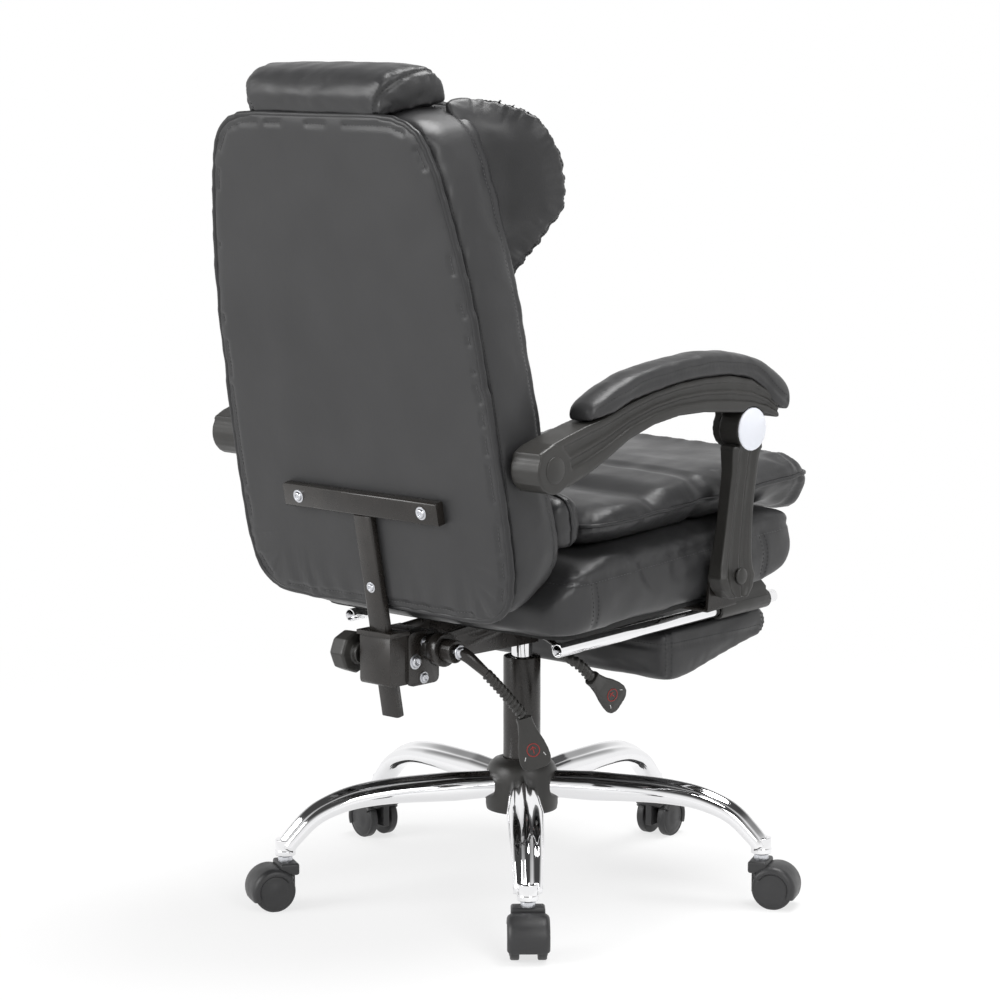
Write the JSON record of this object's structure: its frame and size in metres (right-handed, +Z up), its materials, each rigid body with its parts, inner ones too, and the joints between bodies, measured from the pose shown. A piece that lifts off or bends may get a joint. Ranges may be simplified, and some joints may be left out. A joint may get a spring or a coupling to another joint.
{
  "type": "reclining office chair with footrest",
  "caption": "Padded high-back reclining office chair on a star base with casters, with linked armrests and a footrest that slides out and flips over.",
  "frame": {"origin": "on the floor, at the middle of the space the whole chair takes up at rest", "axes": "+Z up, -Y the way the sitter faces, -X the sitter's right hand"},
  "size_m": [0.732, 0.7716, 1.1062],
  "materials": {
    "padded_leather": "soft, slightly glossy, fine grain",
    "chrome": "polished",
    "black_plastic": "satin, lightly textured",
    "painted_steel": "gloss black paint",
    "caster_plastic": "satin",
    "pale_cap": "satin",
    "plywood": "raw"
  },
  "bodies": {
    "base": {"base_star": "chrome", "hub_cover": "black_plastic", "column_tube": "painted_steel", "column_bush": "black_plastic"},
    "swivel": {"piston_rod": "painted_steel"},
    "lift": {"gas_cylinder": "chrome", "release_button": "painted_steel", "seat_mechanism": "painted_steel", "recliner_disc": "painted_steel", "hinge_shaft": "painted_steel", "seat_board": "plywood", "seat_cushion": "padded_leather", "seat_pad": "padded_leather", "footrest_guide_right": "black_plastic", "footrest_guide_left": "black_plastic", "arm_foot_right": "painted_steel", "arm_foot_left": "painted_steel"},
    "recline_handle": {"recline_lever": "black_plastic", "recline_paddle": "black_plastic"},
    "height_handle": {"height_lever": "black_plastic", "height_paddle": "black_plastic"},
    "footrest_slider": {"footrest_rail_right": "chrome", "footrest_rail_left": "chrome", "footrest_crossbar": "chrome"},
    "footrest": {"footrest_board": "black_plastic", "footrest_pad": "padded_leather"},
    "back": {"back_bracket": "painted_steel", "back_post": "painted_steel", "back_bar": "painted_steel", "back_panel": "padded_leather", "back_cushion": "padded_leather", "lumbar_roll": "padded_leather", "back_pad": "padded_leather", "head_pad": "padded_leather", "head_roll": "padded_leather", "head_wing_right": "padded_leather", "head_wing_left": "padded_leather", "arm_pin_right": "painted_steel", "arm_pin_left": "painted_steel"},
    "knob": {"hand_knob": "black_plastic"},
    "strut_right": {"arm_strut_right": "black_plastic", "arm_cap_right": "pale_cap"},
    "arm_right": {"arm_beam_right": "black_plastic", "arm_pad_right": "padded_leather"},
    "strut_left": {"arm_strut_left": "black_plastic", "arm_cap_left": "pale_cap"},
    "arm_left": {"arm_beam_left": "black_plastic", "arm_pad_left": "padded_leather"},
    "caster_1": {"caster_hood_1": "caster_plastic"},
    "wheels_1": {"caster_wheels_1": "caster_plastic"},
    "caster_2": {"caster_hood_2": "caster_plastic"},
    "wheels_2": {"caster_wheels_2": "caster_plastic"},
    "caster_3": {"caster_hood_3": "caster_plastic"},
    "wheels_3": {"caster_wheels_3": "caster_plastic"},
    "caster_4": {"caster_hood_4": "caster_plastic"},
    "wheels_4": {"caster_wheels_4": "caster_plastic"},
    "caster_5": {"caster_hood_5": "caster_plastic"},
    "wheels_5": {"caster_wheels_5": "caster_plastic"}
  },
  "joints": [
    {"name": "caster_swivel_1", "type": "hinge", "parent": "base", "child": "caster_1", "pos_m": [0.03103, -0.33268, 0.05958], "axis": [0, 0, 1], "continuous": true},
    {"name": "wheel_spin_1", "type": "hinge", "parent": "caster_1", "child": "wheels_1", "pos_m": [0.03359, -0.35201, 0.02708], "axis": [0.9913, 0.1314, 0], "continuous": true},
    {"name": "caster_swivel_2", "type": "hinge", "parent": "base", "child": "caster_2", "pos_m": [0.3122, -0.0654, 0.05958], "axis": [0, 0, 1], "continuous": true},
    {"name": "wheel_spin_2", "type": "hinge", "parent": "caster_2", "child": "wheels_2", "pos_m": [0.33137, -0.06893, 0.02708], "axis": [0.1814, 0.9834, 0], "continuous": true},
    {"name": "caster_swivel_3", "type": "hinge", "parent": "base", "child": "caster_3", "pos_m": [0.14488, 0.2846, 0.05958], "axis": [0, 0, 1], "continuous": true},
    {"name": "wheel_spin_3", "type": "hinge", "parent": "caster_3", "child": "wheels_3", "pos_m": [0.15417, 0.30175, 0.02708], "axis": [-0.8792, 0.4764, 0], "continuous": true},
    {"name": "caster_swivel_4", "type": "hinge", "parent": "base", "child": "caster_4", "pos_m": [-0.2397, 0.23363, 0.05958], "axis": [0, 0, 1], "continuous": true},
    {"name": "wheel_spin_4", "type": "hinge", "parent": "caster_4", "child": "wheels_4", "pos_m": [-0.25313, 0.24777, 0.02708], "axis": [-0.7248, -0.689, 0], "continuous": true},
    {"name": "caster_swivel_5", "type": "hinge", "parent": "base", "child": "caster_5", "pos_m": [-0.31006, -0.14787, 0.05958], "axis": [0, 0, 1], "continuous": true},
    {"name": "wheel_spin_5", "type": "hinge", "parent": "caster_5", "child": "wheels_5", "pos_m": [-0.32765, -0.15628, 0.02708], "axis": [0.4313, -0.9022, 0], "continuous": true},
    {"name": "seat_swivel", "type": "hinge", "parent": "base", "child": "swivel", "pos_m": [-0.01233, -0.00554, 0.29958], "axis": [0, 0, 1], "continuous": true},
    {"name": "seat_height", "type": "slide", "parent": "swivel", "child": "lift", "axis": [0, 0, 1], "range_m": [0, 0.08]},
    {"name": "recline", "type": "hinge", "parent": "lift", "child": "back", "pos_m": [-0.01233, 0.20446, 0.36158], "axis": [-1, 0, 0], "range_deg": [0, 40]},
    {"name": "recline_release", "type": "hinge", "parent": "lift", "child": "recline_handle", "pos_m": [-0.01233, 0.20446, 0.36158], "axis": [-1, 0, 0], "range_deg": [0, 12], "stiffness_Nm_per_rad": 6, "springref_deg": -11.46},
    {"name": "height_release", "type": "hinge", "parent": "lift", "child": "height_handle", "pos_m": [-0.03433, -0.00554, 0.38408], "axis": [0, 1, 0], "range_deg": [0, 5], "stiffness_Nm_per_rad": 12, "springref_deg": -6.88},
    {"name": "footrest_slide", "type": "slide", "parent": "lift", "child": "footrest_slider", "axis": [0, -0.9995, 0.0318], "range_m": [0, 0.3]},
    {"name": "footrest_flip", "type": "hinge", "parent": "footrest_slider", "child": "footrest", "pos_m": [-0.01233, -0.30054, 0.38038], "axis": [-1, 0, 0], "range_deg": [0, 180]},
    {"name": "knob_turn", "type": "hinge", "parent": "back", "child": "knob", "pos_m": [0.04767, 0.25846, 0.35258], "axis": [1, 0, 0], "continuous": true},
    {"name": "strut_pivot_right", "type": "hinge", "parent": "lift", "child": "strut_right", "pos_m": [-0.28233, -0.11254, 0.44358], "axis": [-1, 0, 0], "range_deg": [0, 52]},
    {"name": "arm_pivot_right", "type": "hinge", "parent": "strut_right", "child": "arm_right", "pos_m": [-0.28233, -0.12954, 0.63458], "axis": [-1, 0, 0], "range_deg": [-46.7, 0]},
    {"name": "strut_pivot_left", "type": "hinge", "parent": "lift", "child": "strut_left", "pos_m": [0.25767, -0.11254, 0.44358], "axis": [-1, 0, 0], "range_deg": [0, 52]},
    {"name": "arm_pivot_left", "type": "hinge", "parent": "strut_left", "child": "arm_left", "pos_m": [0.25767, -0.12954, 0.63458], "axis": [-1, 0, 0], "range_deg": [-46.7, 0]}
  ],
  "couplings": [
    {"joint": "strut_pivot_right", "follows": "recline", "ratio": 1.2987},
    {"joint": "arm_pivot_right", "follows": "recline", "ratio": -1.1646},
    {"joint": "strut_pivot_left", "follows": "recline", "ratio": 1.2987},
    {"joint": "arm_pivot_left", "follows": "recline", "ratio": -1.1646}
  ]
}
